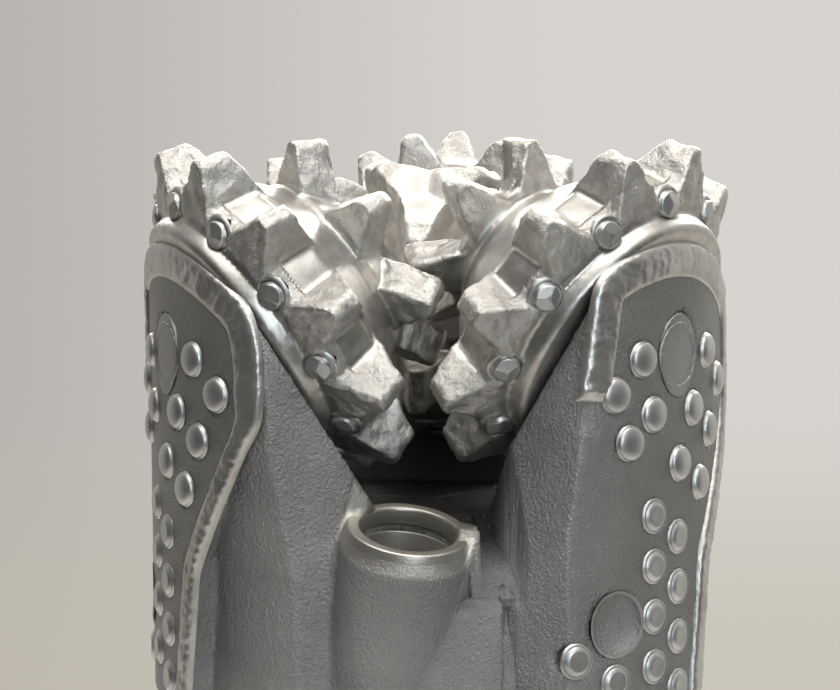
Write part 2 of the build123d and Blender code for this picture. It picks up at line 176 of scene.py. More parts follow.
world = bpy.data.worlds.new("studio")
bpy.context.scene.world = world
world.use_nodes = True
world.node_tree.nodes.clear()
sky = Tree(world.node_tree)
way = sky.add("ShaderNodeTexCoord", {}, {}, "Generated")
parts = sky.nodes.new("ShaderNodeSeparateXYZ")
world.node_tree.links.new(way.socket, parts.inputs[0])
WALL_DIM, WALL_LIT, WALL_LOW = (0.47, 0.452, 0.425), (0.68, 0.658, 0.624), (0.54, 0.50, 0.41)
left_right = Socket(sky, parts.outputs[0]).clamped(-0.30, -0.06)
low_high = Socket(sky, parts.outputs[2]).clamped(-0.19, -0.10)
wall = sky.mix(left_right, WALL_DIM, WALL_LIT)
wall = sky.mix(low_high, sky.mix(0.6, wall, WALL_LOW), wall)
room = sky.mix(Socket(sky, parts.outputs[2]).clamped(-0.1, 0.9), (0.035, 0.034, 0.033),
               (0.55, 0.54, 0.515))
room = sky.mix(Socket(sky, parts.outputs[0]).clamped(-0.8, 0.4, 0.8, 0.0), room,
               (0.03, 0.03, 0.032))
path = sky.nodes.new("ShaderNodeLightPath")
behind = Socket(sky, parts.outputs[1]).clamped(-0.05, 0.45)
seen = Socket(sky, path.outputs["Is Camera Ray"]) + behind * (
    Socket(sky, path.outputs["Is Glossy Ray"]) + Socket(sky, path.outputs["Is Transmission Ray"]))
shade = sky.add("ShaderNodeBackground", {}, {"Color": sky.mix(seen, room, wall),
                                             "Strength": 1.0})
sky.add("ShaderNodeOutputWorld", {}, {"Surface": shade})


def lamp(name, place, target, size, power, colour=(1, 1, 1)):
    light = bpy.data.lights.new(name, "AREA")
    light.shape, light.size, light.size_y = "RECTANGLE", *size
    light.energy, light.color = power, colour
    holder = bpy.data.objects.new(name, light)
    holder.location = place
    holder.rotation_euler = (Vector(target) - Vector(place)).to_track_quat("-Z", "Y").to_euler()
    bpy.context.scene.collection.objects.link(holder)


lamp("overhead", (0.05, -0.36, 1.32), (0, 0, 0.3), (1.3, 0.9), 12.5, (1.0, 0.97, 0.92))
lamp("window", (0.50, -1.25, 0.62), (0, 0, 0.25), (0.30, 0.9), 5.5, (0.84, 0.93, 1.0))
lamp("far_wall", (0.0, 1.1, 1.0), (0, 0, 0.26), (1.7, 0.6), 24, (1.0, 0.98, 0.94))

bench_finish, bench = material_tree("pale_bench")
place = bench.add("ShaderNodeTexCoord", {}, {}, "Object")
reach = bench.add("ShaderNodeVectorMath", {"operation": "LENGTH"}, (place,), "Value")
tone = bench.mix(bench.noise(place, 9.0), (0.60, 0.585, 0.56), (0.64, 0.625, 0.60))
cover = bench.add("ShaderNodeBsdfDiffuse", {}, {"Color": tone})
clear = bench.add("ShaderNodeBsdfTransparent")
edge = bench.add("ShaderNodeMixShader", {}, (reach.clamped(0.40, 0.58), cover, clear))
bench.add("ShaderNodeOutputMaterial", {}, {"Surface": edge})
bm = bmesh.new()
bmesh.ops.create_circle(bm, cap_ends=True, radius=0.6, segments=96)
floor_mesh = bpy.data.meshes.new("bench")
bm.to_mesh(floor_mesh)
bm.free()
floor = bpy.data.objects.new("bench", floor_mesh)
floor_mesh.materials.append(bench_finish)
bpy.context.scene.collection.objects.link(floor)

# ---- leg forgings ------------------------------------------------------------------------------
# Each leg is a third of the bit, a steel casting with its nozzle boss, arm and journal. They are
# welded together, blasted and sprayed with silver-grey paint that keeps the cast texture.
LEG_R = 0.1055                          # outside of the raised insert pad
PIN_TOP = 0.108
LEG_SKIN = 0.00125                      # mesh size that a casting is rebuilt at
TURNED_FACE = (0.0225, 0.0245)          # the port's turned face fades out over these radii
TURNED_FOOT = (-0.0085, -0.0065)        # and these depths below the mouth
BARE_BELOW = (0.128, 0.134)             # the pin and shank are turned below this height
PAD_STEP = (0.0009, 0.0004)             # how far below its outside the pad begins
THROAT_SHADE_R, THROAT_SHADE_Z = (0.056, 0.076), (0.205, 0.222)         # painted shade: the throat under the cones, painted dark where the cones keep the light out
SHOULDER = (66.0, -32.0)                # the weld seam's shoulder, past these azimuths
SHOULDER_R, SHOULDER_IN = (0.045, 0.0885), 0.060        # its reach, and where its top begins
SHOULDER_TOP, SHOULDER_FALL, SHOULDER_LIP = 0.2135, 0.56, 0.006
SHOULDER_TUCK, TUCK_R = 0.6, (0.070, 0.082)             # how its lip is drawn in
BODY_R, BOSS_REACH = 0.087, 0.0247      # plain body, and a boss round its port's axis
PIN_WALL_R, THREAD_ROOM = 0.036, 0.0032                 # the pin's outside drops under its thread
PORT_AZIMUTH, PORT_RADIUS, PORT_Z = math.radians(60), 0.080, 0.222
PORT_OUT, PORT_SIDE, PORT_R = math.radians(15.5), math.radians(9.7), 0.017


def journal_frame(n):
    """Apex, axis, upper side and leading side of one journal."""
    origin, axis = journals[f"cone_{n}_body"]
    upper = (Vector((0, 0, 1)) - axis * axis.z).normalized()
    return origin, axis, upper, upper.cross(axis)


def bearing(n):
    """Azimuth of a leg's middle."""
    axis = journals[f"cone_{n}_body"][1]
    return math.atan2(axis.y, axis.x)


def out_at(azimuth):
    return Vector((math.cos(azimuth), math.sin(azimuth), 0))


def port_frame(n):
    """Mouth centre and axis of a leg's nozzle port."""
    turn = bearing(n) + PORT_AZIMUTH
    axis = (Vector((0, 0, 1)) + out_at(turn) * math.tan(PORT_OUT)
            + out_at(turn + math.pi / 2) * math.tan(PORT_SIDE)).normalized()
    return out_at(turn) * PORT_RADIUS + Vector((0, 0, PORT_Z)), axis


def geometry_tree(name, **values):
    """A geometry tree with named inputs. Returns its group, its builder and its inputs."""
    group = bpy.data.node_groups.new(name, "GeometryNodeTree")
    face = group.interface
    face.new_socket("Geometry", in_out="OUTPUT", socket_type="NodeSocketGeometry")
    face.new_socket("Geometry", in_out="INPUT", socket_type="NodeSocketGeometry")
    face.new_socket("Material", in_out="INPUT", socket_type="NodeSocketMaterial")
    for key, value in values.items():
        if value is None:
            face.new_socket(key, in_out="INPUT", socket_type="NodeSocketObject")
        else:
            face.new_socket(key, in_out="INPUT",
                            socket_type="NodeSocketFloat").default_value = value
    t = Tree(group)
    start = group.nodes.new("NodeGroupInput")
    return group, t, {s.name: Socket(t, s) for s in start.outputs if s.name}


def closed_tree(t, shape, material):
    """Ends a geometry tree with real meshes that carry their material."""
    real = t.add("GeometryNodeRealizeInstances", {}, {0: shape})
    done = t.add("GeometryNodeSetMaterial", {}, {"Geometry": real, "Material": material})
    end = t.nodes.new("NodeGroupOutput")
    t.links.new(done.socket, end.inputs[0])


def moved_along(t, shape, direction, distance):
    shift = t.add("ShaderNodeVectorMath", {"operation": "SCALE"},
                  {0: direction, "Scale": distance})
    return t.add("GeometryNodeSetPosition", {}, {"Geometry": shape, "Offset": shift})


def read(t, name, kind="FLOAT"):
    return t.add("GeometryNodeInputNamedAttribute", {"data_type": kind}, {"Name": name})


def rough_skin_tree():
    """Lumps and pits on a skin, as deep as its rough attribute says."""
    group, t, given = geometry_tree("rough_skin", Lump=0.0004, LumpSize=0.008, Pit=0.0001,
                                    PitSize=0.0025, Seed=0.0)
    place = t.add("GeometryNodeInputPosition")
    shifted = t.add("ShaderNodeVectorMath", {"operation": "ADD"},
                    (place, t.add("ShaderNodeCombineXYZ", {}, {0: given["Seed"]})))
    lumps = t.noise(shifted, 1.0 / given["LumpSize"], 0.0) - 0.5
    pits = t.noise(shifted, 1.0 / given["PitSize"], 1.0, 0.5) - 0.5
    depth = (lumps * given["Lump"] * 2.0 + pits * given["Pit"] * 2.0) * read(t, "rough")
    shape = moved_along(t, given["Geometry"], t.add("GeometryNodeInputNormal"), depth)
    closed_tree(t, shape, given["Material"])
    return group


rough_skin = rough_skin_tree()


def coordinates(mesh):
    values = np.empty(len(mesh.vertices) * 3, dtype=np.float32)
    mesh.vertices.foreach_get("co", values)
    return values.reshape(-1, 3)


def mark(mesh, name, values):
    """Keeps one number per vertex for node trees and materials to read."""
    mesh.attributes.new(name, "FLOAT", "POINT").data.foreach_set(
        "value", np.asarray(values, dtype=np.float32))


def step(values, low, high):
    part = np.clip((values - low) / (high - low), 0, 1)
    return part * part * (3 - 2 * part)


def forged_grey():
    material, t = material_tree("silver_grey_paint")
    at = t.add("ShaderNodeTexCoord", {}, {}, "Object")
    rough_part = t.add("ShaderNodeAttribute", {"attribute_name": "rough"}, {}, "Fac")
    turned = t.add("ShaderNodeAttribute", {"attribute_name": "turned"}, {}, "Fac")
    broad, peel = t.noise(at, 24.0, 4.0, 0.6), t.noise(at, 760.0, 4.0, 0.66)
    grain = t.noise(at, 1900.0, 3.0, 0.65)
    base = t.mix(broad.clamped(0.35, 0.7), grey(0.33, 0.004), grey(0.41, 0.002))
    base = t.mix(grain.clamped(0.60, 0.72, 0.0, 0.5), base, grey(0.15, 0.03))
    stain = t.noise(at, 60.0, 6.0, 0.65).clamped(0.60, 0.76, 0.0, 0.30)
    base = t.mix(stain, base, (0.22, 0.185, 0.145))
    base = t.mix(turned, base, (0.56, 0.535, 0.49))
    # painted shade: the raised pad is darkened in the colour, standing in for the dark
    # surroundings it reflects
    pad_shade = t.add("ShaderNodeAttribute", {"attribute_name": "pad"}, {}, "Fac")
    base = t.mix(pad_shade * 0.45, base, grey(0.17, 0.02))
    # painted shade: the throat under the cones is darkened in the colour, standing in for the
    # shade that the cones cast
    throat_shade = t.add("ShaderNodeAttribute", {"attribute_name": "throat_shade"}, {}, "Fac")
    base = t.mix(throat_shade * 0.85, base, (0.035, 0.028, 0.024))
    rough = 0.27 + 0.14 * grain + 0.07 * broad
    height = peel * (0.25 + rough_part) * 1.4 + grain * (0.25 + 0.25 * rough_part)
    finish_surface(t, base, rough, 0.9, height, 0.0007)
    return material


def copied(node, name):
    """A merged copy of a CAD node's mesh, to be worked up into a finished piece."""
    mesh = frame["nodes"][node].data.copy()
    mesh.name = name
    mesh.materials.clear()
    bm = bmesh.new()
    bm.from_mesh(mesh)
    bmesh.ops.remove_doubles(bm, verts=bm.verts, dist=1e-6)
    bm.to_mesh(mesh)
    bm.free()
    piece = bpy.data.objects.new(name, mesh)
    bpy.context.scene.collection.objects.link(piece)
    return piece


def settle(piece):
    """Applies a piece's modifiers to its mesh."""
    bpy.context.view_layer.update()
    result = piece.evaluated_get(bpy.context.evaluated_depsgraph_get())
    mesh = bpy.data.meshes.new_from_object(result)
    piece.modifiers.clear()
    piece.data = mesh
    return piece


def skinned(piece, cell, smooth):
    """Rebuilds a piece as one even skin with softened corners."""
    remesh = piece.modifiers.new("skin", "REMESH")
    remesh.mode, remesh.voxel_size = "VOXEL", cell
    soften = piece.modifiers.new("soften", "SMOOTH")
    soften.factor, soften.iterations = 0.5, smooth
    return settle(piece)


def grown(piece, group, **values):
    """Runs a geometry tree on a piece and keeps what it makes as the piece's mesh."""
    modifier = piece.modifiers.new(group.name, "NODES")
    modifier.node_group = group
    for item in group.interface.items_tree:
        if item.name in values:
            modifier[item.identifier] = values[item.name]
    settle(piece)
    piece.data.shade_smooth()
    return piece


def fitted(piece, slot, body, *nodes):
    """Attaches a piece to what it rides on and hides the CAD nodes it stands for; the finish slot
    is not used.
    """
    if nodes:
        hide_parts(*nodes)
    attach(piece, body)


leg_paint = forged_grey()
for n in CONES:
    leg = skinned(copied(f"leg_{n}", f"leg_forging_{n}"), LEG_SKIN, 3)
    spots = coordinates(leg.data)
    radius = np.hypot(spots[:, 0], spots[:, 1])
    mouth, port_axis = (np.array(v) for v in port_frame(n))
    height = (spots - mouth) @ port_axis
    off_axis = np.linalg.norm(spots - mouth - height[:, None] * port_axis, axis=1)
    port = (1 - step(off_axis, *TURNED_FACE)) * step(height, *TURNED_FOOT)
    pin = 1 - step(spots[:, 2], *BARE_BELOW)
    pad = step(radius, LEG_R - PAD_STEP[0], LEG_R - PAD_STEP[1])
    mark(leg.data, "turned", np.maximum(port, pin))
    # the pad mask also carries the pad's painted shade into the paint
    mark(leg.data, "pad", pad)
    # painted shade: marks the throat under the cones, to be darkened in the paint
    mark(leg.data, "throat_shade", (1 - step(radius, *THROAT_SHADE_R)) * step(spots[:, 2], *THROAT_SHADE_Z))
    mark(leg.data, "rough", (1 - np.maximum(port, pin)) * (1 - 0.55 * pad))
    turn = np.arctan2(spots[:, 1], spots[:, 0]) - bearing(n)
    turn = np.degrees((turn + math.pi) % math.tau - math.pi)
    beside = ((turn > SHOULDER[0]) | (turn < SHOULDER[1])) & (off_axis > BOSS_REACH)
    beside &= (radius > SHOULDER_R[0]) & (radius < SHOULDER_R[1])
    over = spots[:, 2] - SHOULDER_TOP + (radius - SHOULDER_IN) * SHOULDER_FALL
    fall = np.where(over > SHOULDER_LIP, over, (over + SHOULDER_LIP) ** 2 / SHOULDER_LIP / 4)
    spots[:, 2] -= np.where(beside & (over > -SHOULDER_LIP), fall, 0)
    tuck = np.clip(over / SHOULDER_LIP + 1, 0, 1) ** 2 * step(radius, *TUCK_R) * beside
    spots[:, :2] *= (1 - SHOULDER_LIP * SHOULDER_TUCK * tuck / radius)[:, None]
    thread = (spots[:, 2] < PIN_TOP - 0.006) & (radius > PIN_WALL_R)
    spots[thread, :2] *= (1 - THREAD_ROOM / radius[thread])[:, None]
    leg.data.vertices.foreach_set("co", spots.ravel())
    grown(leg, rough_skin, Material=leg_paint, Lump=0.00014, LumpSize=0.012, Pit=0.00010,
          PitSize=0.0034, Seed=float(n))
    fitted(leg, "forging", BIT, f"leg_{n}")

# ---- turned port rings -----------------------------------------------------------------------
# The nozzle port is the one machined place on the casting's front: a bored pocket with a groove
# for the nozzle's retaining ring, a bright turned face and a wide chamfer round it.
PORT_GROOVE = (0.006, 0.009, 0.0011)    # start and end below the face, and depth
PORT_LINING = 0.031


def turned_sheet(name, profile, centre, axis, segments=160):
    """Sheet turned round an axis from (radius, height) points."""
    upright = axis.to_track_quat("Z", "Y")
    bm = bmesh.new()
    rows = []
    for radius, height in profile:
        rows.append([bm.verts.new(centre + upright @ Vector((
            radius * math.cos(math.tau * k / segments),
            radius * math.sin(math.tau * k / segments), height))) for k in range(segments)])
    for low, high in zip(rows, rows[1:]):
        for k in range(segments):
            bm.faces.new((low[k - 1], low[k], high[k], high[k - 1]))
    mesh = bpy.data.meshes.new(name)
    bm.to_mesh(mesh)
    bm.free()
    piece = bpy.data.objects.new(name, mesh)
    bpy.context.scene.collection.objects.link(piece)
    return piece


def turned_steel():
    material, t = material_tree("turned_steel_painted")
    at = t.add("ShaderNodeTexCoord", {}, {}, "Object")
    cloud, grain = t.noise(at, 70.0, 4.0, 0.6), t.noise(at, 1400.0, 3.0, 0.6)
    base = t.mix(cloud.clamped(0.35, 0.7), (0.50, 0.475, 0.43), (0.60, 0.575, 0.53))
    finish_surface(t, base, 0.30 + 0.14 * grain, 0.88, grain, 0.00012)
    return material


machined = turned_steel()
groove_top, groove_foot, groove_cut = PORT_GROOVE
lip = PORT_R - 0.0002
port_profile = [(lip, -PORT_LINING), (lip, -groove_foot), (lip + groove_cut, -groove_foot),
                (lip + groove_cut, -groove_top), (lip, -groove_top), (lip, -0.0010),
                (lip + 0.0002, -0.0004), (lip + 0.0007, 0.0001), (0.0206, 0.00016),
                (0.0212, -0.0002), (0.0229, -0.0060), (0.0229, -0.0075)]
for n in CONES:
    ring = turned_sheet(f"port_ring_{n}", port_profile, *port_frame(n))
    bend = ring.modifiers.new("edges", "BEVEL")
    bend.width, bend.segments, bend.angle_limit = 0.00025, 2, math.radians(25)
    settle(ring)
    mark(ring.data, "rough", np.full(len(ring.data.vertices), 0.5))
    grown(ring, rough_skin, Material=machined, Lump=0.00010, LumpSize=0.007, Pit=0.00002,
          PitSize=0.002, Seed=float(n))
    fitted(ring, "forging", BIT)

# ---- pin thread --------------------------------------------------------------------------------
# The rotary-shouldered pin: a right-hand V thread, five to the inch, on a taper of three inches
# in the foot, with rounded crests and roots. It starts and runs out over most of a turn.
THREAD_PITCH, THREAD_DEPTH = 0.0254 / 5, 0.0029
PIN_END_R, PIN_SLOPE = 0.0448, 1 / 8    # crest radius at the pin's end, growth per length
THREAD_SPAN, THREAD_FOOT = (0.003, 0.1005), 0.1022
THREAD_FLANK, THREAD_ROOT = 1.35, 0.17  # steepness of the flanks, and flat left at the root


def threaded_pin():
    """Sheet over the pin with the thread cut into it."""
    turns, rows = 180, 420
    angle = np.linspace(0, math.tau, turns, endpoint=False)
    z = np.linspace(0.0, THREAD_FOOT, rows)
    a, h = np.meshgrid(angle, z)
    phase = (h / THREAD_PITCH - a / math.tau) % 1.0
    wave = np.clip(np.abs(phase - 0.5) * 2 * THREAD_FLANK - THREAD_ROOT, 0, 1)
    wave = wave * wave * (3 - 2 * wave) * 0.35 + wave * 0.65
    ends = step(h, THREAD_SPAN[0], THREAD_SPAN[0] + 0.004) * (
        1 - step(h, THREAD_SPAN[1] - 0.006, THREAD_SPAN[1]))
    crest = PIN_END_R + h * PIN_SLOPE - 0.0020 * (1 - step(h, 0, 0.003))
    radius = crest - THREAD_DEPTH * (1 - wave) * ends
    points = np.stack((radius * np.cos(a), radius * np.sin(a), h), axis=-1).reshape(-1, 3)
    faces = [(r * turns + k, r * turns + (k + 1) % turns, (r + 1) * turns + (k + 1) % turns,
              (r + 1) * turns + k) for r in range(rows - 1) for k in range(turns)]
    mesh = bpy.data.meshes.new("pin_thread")
    mesh.from_pydata([tuple(p) for p in points], [], faces)
    mesh.shade_smooth()
    piece = bpy.data.objects.new("pin_thread", mesh)
    bpy.context.scene.collection.objects.link(piece)
    return piece


def thread_steel():
    material, t = material_tree("oiled_thread_steel")
    at = t.add("ShaderNodeTexCoord", {}, {}, "Object")
    cloud, grain = t.noise(at, 45.0, 5.0, 0.6), t.noise(at, 900.0, 3.0, 0.6)
    base = t.mix(cloud.clamped(0.35, 0.7), (0.26, 0.25, 0.24), (0.40, 0.39, 0.37))
    finish_surface(t, base, 0.26 + 0.16 * cloud, 0.92, grain, 0.00008)
    return material


thread = threaded_pin()
thread.data.materials.append(thread_steel())
fitted(thread, "forging", BIT)

# ---- weld beads ------------------------------------------------------------------------------
# Tungsten-carbide weld is laid in thick rippled beads round each leg's rounded end and down its
# leading edge. A plainer bead fills each seam between two forgings.
TRAIL_EDGE = (-23.3, 0.269, 91.0)       # degrees at this height, and degrees per metre of height
LOBE_R, LEG_FACE = 0.0525, 0.098        # rounded end, and inner face, from the journal's apex
PAD_EDGE = ((34.0, 0.2735), (13.0, 0.209), (8.4, 0.157))    # degrees from the leg's middle, z


def bead_tree():
    """Lifts a flat band into a rippled weld bead."""
    group, t, given = geometry_tree("weld_bead", Rise=0.0016, Sink=0.001, Pitch=0.003,
                                    Ripple=0.1, Lump=0.0004, Seed=0.0)
    across, along, lift = read(t, "across"), read(t, "along"), read(t, "lift")
    place = t.add("GeometryNodeInputPosition")
    shifted = t.add("ShaderNodeVectorMath", {"operation": "ADD"},
                    (place, t.add("ShaderNodeCombineXYZ", {}, {2: given["Seed"]})))
    wander = t.noise(shifted, 150.0, 3.0, 0.6) - 0.5
    square = across * across
    dome = t.add("ShaderNodeMath", {"operation": "SQRT"}, (1.0 - square * square,))
    phase = (along / given["Pitch"] + square * 0.7 + wander * 1.2) * math.tau
    ripple = t.add("ShaderNodeMath", {"operation": "SINE"}, (phase,)) * given["Ripple"]
    rise = (given["Rise"] + given["Sink"]) * dome * lift * (1.0 + ripple)
    height = rise - given["Sink"] + wander * given["Lump"] * 2.0 * dome * lift
    shape = moved_along(t, given["Geometry"], t.add("GeometryNodeInputNormal"), height)
    closed_tree(t, shape, given["Material"])
    return group


def band(name, path, outward, half_width, taper=0.004, columns=17):
    """Flat band along a path, square to the outward directions, ready to become a bead."""
    path, outward = np.array(path, dtype=float), np.array(outward, dtype=float)
    ahead = np.gradient(path, axis=0)
    side = np.cross(outward, ahead)
    side /= np.linalg.norm(side, axis=1)[:, None]
    run = np.concatenate(([0], np.cumsum(np.linalg.norm(np.diff(path, axis=0), axis=1))))
    places = np.linspace(-1, 1, columns)
    count = len(path)
    grid = path[:, None] + side[:, None] * places[None, :, None] * np.broadcast_to(
        half_width, count)[:, None, None]
    faces = [(r * columns + c, (r + 1) * columns + c, (r + 1) * columns + c + 1,
              r * columns + c + 1) for r in range(count - 1) for c in range(columns - 1)]
    mesh = bpy.data.meshes.new(name)
    mesh.from_pydata([tuple(p) for p in grid.reshape(-1, 3)], [], faces)
    ends = np.minimum(run, run[-1] - run)
    lift = np.ones(count) if taper == 0 else np.sqrt(np.clip(ends / taper, 0, 1))
    mark(mesh, "across", np.tile(places, count))
    mark(mesh, "along", np.repeat(run, columns))
    mark(mesh, "lift", np.repeat(lift, columns))
    piece = bpy.data.objects.new(name, mesh)
    bpy.context.scene.collection.objects.link(piece)
    return piece


def on_pad(n, degrees, z, radius=LEG_R):
    return out_at(bearing(n) + math.radians(degrees)) * radius + Vector((0, 0, z))


def reach_outside(start, way):
    """Where a line from start meets the leg's round outside."""
    a = way.x ** 2 + way.y ** 2
    b = start.x * way.x + start.y * way.y
    c = start.x ** 2 + start.y ** 2 - LEG_R ** 2
    return start + way * ((-b + math.sqrt(b * b - a * c)) / a)


def lobe_line(n, inset, down=0.0165):
    """Line on the leg's outside, inset from its rounded end: across the top, where the inner
    face cuts the leg short, round the lobe and down its straight leading side."""
    origin, axis, upper, leading = journal_frame(n)
    line = [reach_outside(origin - leading * (LOBE_R - inset) - upper * drop, axis)
            for drop in np.linspace(0.006, 0.0008, 8)]
    for turn in np.radians(np.linspace(-90, 90, 200)):
        out = math.cos(turn) * upper + math.sin(turn) * leading
        top = reach_outside(origin + axis * (LEG_FACE + inset * 0.5), out)
        side = reach_outside(origin + out * (LOBE_R - inset), axis)
        line.append(top if (top - origin).dot(out) < LOBE_R - inset else side)
    for drop in np.linspace(0.0008, down, 20):
        line.append(reach_outside(origin + leading * (LOBE_R - inset) - upper * drop, axis))
    points = np.array(line)
    turns = np.arctan2(points[:, 1], points[:, 0]) - bearing(n)
    turns = (turns + math.pi) % math.tau - math.pi
    limit = np.radians(TRAIL_EDGE[0] + (points[:, 2] - TRAIL_EDGE[1]) * TRAIL_EDGE[2])
    turns = np.maximum(turns, limit + 0.55 * inset / LEG_R) + bearing(n)
    points[:, 0], points[:, 1] = LEG_R * np.cos(turns), LEG_R * np.sin(turns)
    for _ in range(6):
        points[1:-1] = (points[:-2] + 2 * points[1:-1] + points[2:]) / 4
    return points


LOBE_INSET, EDGE_INSET = 0.0052, math.degrees(0.003 / LEG_R)
EDGE_DROP = 0.003                       # the weld's middle lies this far below the pad's edge
LOBE_HALF, EDGE_HALF, NARROWS = 0.0066, 0.0044, 0.012   # half widths, and run between them
CORNER_PASSES = 40                      # smoothing that rounds the corner below the lobe


def hardface_line(n):
    """Middle and half width of the carbide weld: round the lobe, then down the pad's edge."""
    lobe = lobe_line(n, LOBE_INSET)
    last = np.degrees(np.arctan2(lobe[-1][1], lobe[-1][0]) - bearing(n)) % 360 + EDGE_INSET
    (a0, z0), (a1, z1), foot = PAD_EDGE
    corner = np.array([last, z1 + (z0 - z1) * (last - a1) / (a0 - a1)])
    bend = np.array((a1, z1))
    edge = [on_pad(n, *(low + (high - low) * s - (EDGE_INSET, EDGE_DROP)))
            for high, low in ((bend, corner), (np.array(foot), bend))
            for s in np.linspace(0, 1, 90, endpoint=False)]
    keep = np.arange(len(lobe)) < np.argmax(lobe[:, 2])
    lobe = lobe[keep | (lobe[:, 2] > edge[0].z + 0.001)]
    line = np.concatenate((lobe, np.array([tuple(p) for p in edge])))
    run = np.concatenate(([0], np.cumsum(np.linalg.norm(np.diff(line, axis=0), axis=1))))
    even = np.linspace(0, run[-1], 420)
    line = np.stack([np.interp(even, run, line[:, k]) for k in range(3)], axis=1)
    for _ in range(CORNER_PASSES):
        line[1:-1] = (line[:-2] + 2 * line[1:-1] + line[2:]) / 4
    line[:, :2] *= (LEG_R / np.hypot(line[:, 0], line[:, 1]))[:, None]
    turned = step(even, run[len(lobe)] - NARROWS, run[len(lobe)] + NARROWS)
    return line, LOBE_HALF + (EDGE_HALF - LOBE_HALF) * turned


def outward_of(points):
    return [Vector((p[0], p[1], 0)).normalized() for p in points]


def weld_silver():
    material, t = material_tree("painted_weld")
    at = t.add("ShaderNodeTexCoord", {}, {}, "Object")
    broad, lumps = t.noise(at, 60.0, 4.0, 0.6), t.noise(at, 380.0, 4.0, 0.6)
    base = t.mix(broad.clamped(0.35, 0.68), (0.50, 0.485, 0.46), (0.62, 0.605, 0.575))
    base = t.mix(lumps.clamped(0.62, 0.76, 0.0, 0.35), base, (0.22, 0.20, 0.17))
    finish_surface(t, base, 0.30 + 0.12 * lumps, 0.86, lumps, 0.00025)
    return material


bead, weld_paint = bead_tree(), weld_silver()
for n in CONES:
    line, half = hardface_line(n)
    weld = band(f"hardface_welds_{n}", line, outward_of(line), half, 0.004, 25)
    grown(weld, bead, Material=weld_paint, Rise=0.0015, Sink=0.0016, Pitch=0.0042,
          Ripple=0.02, Lump=0.0008, Seed=n * 0.3)
    fitted(weld, "hardfacing", BIT, f"hardfacing_{n}")


def seam_path(node, samples=240):
    """The line along a seam node, from its own mesh: its middle and its outside, by height."""
    mesh = frame["nodes"][node].data
    world = np.array([frame["nodes"][node].matrix_world @ v.co for v in mesh.vertices])
    radius = np.hypot(world[:, 0], world[:, 1])
    turn = np.arctan2(world[:, 1], world[:, 0])
    middle = np.angle(np.exp(1j * turn).mean())
    top = SHOULDER_TOP - (BODY_R - SHOULDER_IN) * SHOULDER_FALL
    heights = np.linspace(world[:, 2].min() + 0.001, top, samples)
    outer = []
    for z in heights:
        near = np.abs(world[:, 2] - z) < 0.002
        if near.any():
            outer.append((z, radius[near].max()))
    return middle, heights, np.interp(heights, *zip(*outer))


for n in CONES:
    middle, heights, outer = seam_path(f"weld_seam_{n}")
    outer = np.convolve(np.pad(outer, 6, "edge"), np.ones(13) / 13, "valid") - 0.0004
    seam = [out_at(middle) * r + Vector((0, 0, z)) for z, r in zip(heights, outer)]
    seam_bead = band(f"seam_bead_{n}", seam, outward_of(seam), 0.0030, 0.004, 21)
    mark(seam_bead.data, "rough", np.ones(len(seam_bead.data.vertices)))
    grown(seam_bead, bead, Material=leg_paint, Rise=0.0006, Sink=0.0016, Pitch=0.0034,
          Ripple=0.03, Lump=0.0007, Seed=n * 0.9)
    fitted(seam_bead, "forging", BIT, f"weld_seam_{n}")

# ---- pressed inserts -----------------------------------------------------------------------
# Domed carbide buttons protect the upper leg and chamfered flat ones the lower leg. They are
# pressed into drilled holes, and the paint has filled the joint round each.


def islands(node):
    """Middle of each separate solid in a CAD node, in an order that every run repeats."""
    source = frame["nodes"][node]
    bm = bmesh.new()
    bm.from_mesh(source.data)
    bm.transform(source.matrix_world)
    bmesh.ops.remove_doubles(bm, verts=bm.verts, dist=1e-6)
    left, middles = set(bm.verts), []
    while left:
        reach, group = [left.pop()], []
        while reach:
            vertex = reach.pop()
            group.append(vertex)
            for link in vertex.link_edges:
                other = link.other_vert(vertex)
                if other in left:
                    left.remove(other)
                    reach.append(other)
        low = Vector(min(v.co[i] for v in group) for i in range(3))
        high = Vector(max(v.co[i] for v in group) for i in range(3))
        middles.append((low + high) / 2)
    bm.free()
    return sorted(middles, key=tuple)


def insert_tree():
    """Sets a copy of one insert on each point, turned at random about its axis."""
    group, t, given = geometry_tree("pressed_inserts", Insert=None, Spin=6.28, Burr=0.0)
    source = t.add("GeometryNodeObjectInfo", {}, {"Object": given["Insert"]}, "Geometry")
    spin = t.add("FunctionNodeRandomValue", {"data_type": "FLOAT"},
                 {2: 0.0, 3: given["Spin"], "Seed": 5}, 1)
    upright = t.add("FunctionNodeAlignRotationToVector", {"axis": "Z"},
                    {"Vector": read(t, "out", "FLOAT_VECTOR")})
    turned = t.add("FunctionNodeRotateRotation", {"rotation_space": "LOCAL"},
                   {0: upright, 1: t.add("ShaderNodeCombineXYZ", {}, {2: spin})})
    copies = t.add("GeometryNodeInstanceOnPoints", {}, {"Points": given["Geometry"],
                   "Instance": source, "Rotation": turned})
    real = t.add("GeometryNodeRealizeInstances", {}, {0: copies})
    rag = t.noise(t.add("GeometryNodeInputPosition"), 700.0, 2.0, 0.6) - 0.45
    shape = moved_along(t, real, t.add("GeometryNodeInputNormal"),
                        rag * given["Burr"] * read(t, "burr"))
    closed_tree(t, shape, given["Material"])
    return group


def seats(name, places, directions):
    """Points for inserts, each with the direction that its insert faces."""
    mesh = bpy.data.meshes.new(name)
    mesh.from_pydata([tuple(p) for p in places], [], [])
    mesh.attributes.new("out", "FLOAT_VECTOR", "POINT").data.foreach_set(
        "vector", [c for d in directions for c in d])
    piece = bpy.data.objects.new(name, mesh)
    bpy.context.scene.collection.objects.link(piece)
    return piece


def shape_only(piece):
    """Hides an object that is only copied by a tree."""
    bpy.context.scene.collection.objects.unlink(piece)
    return piece


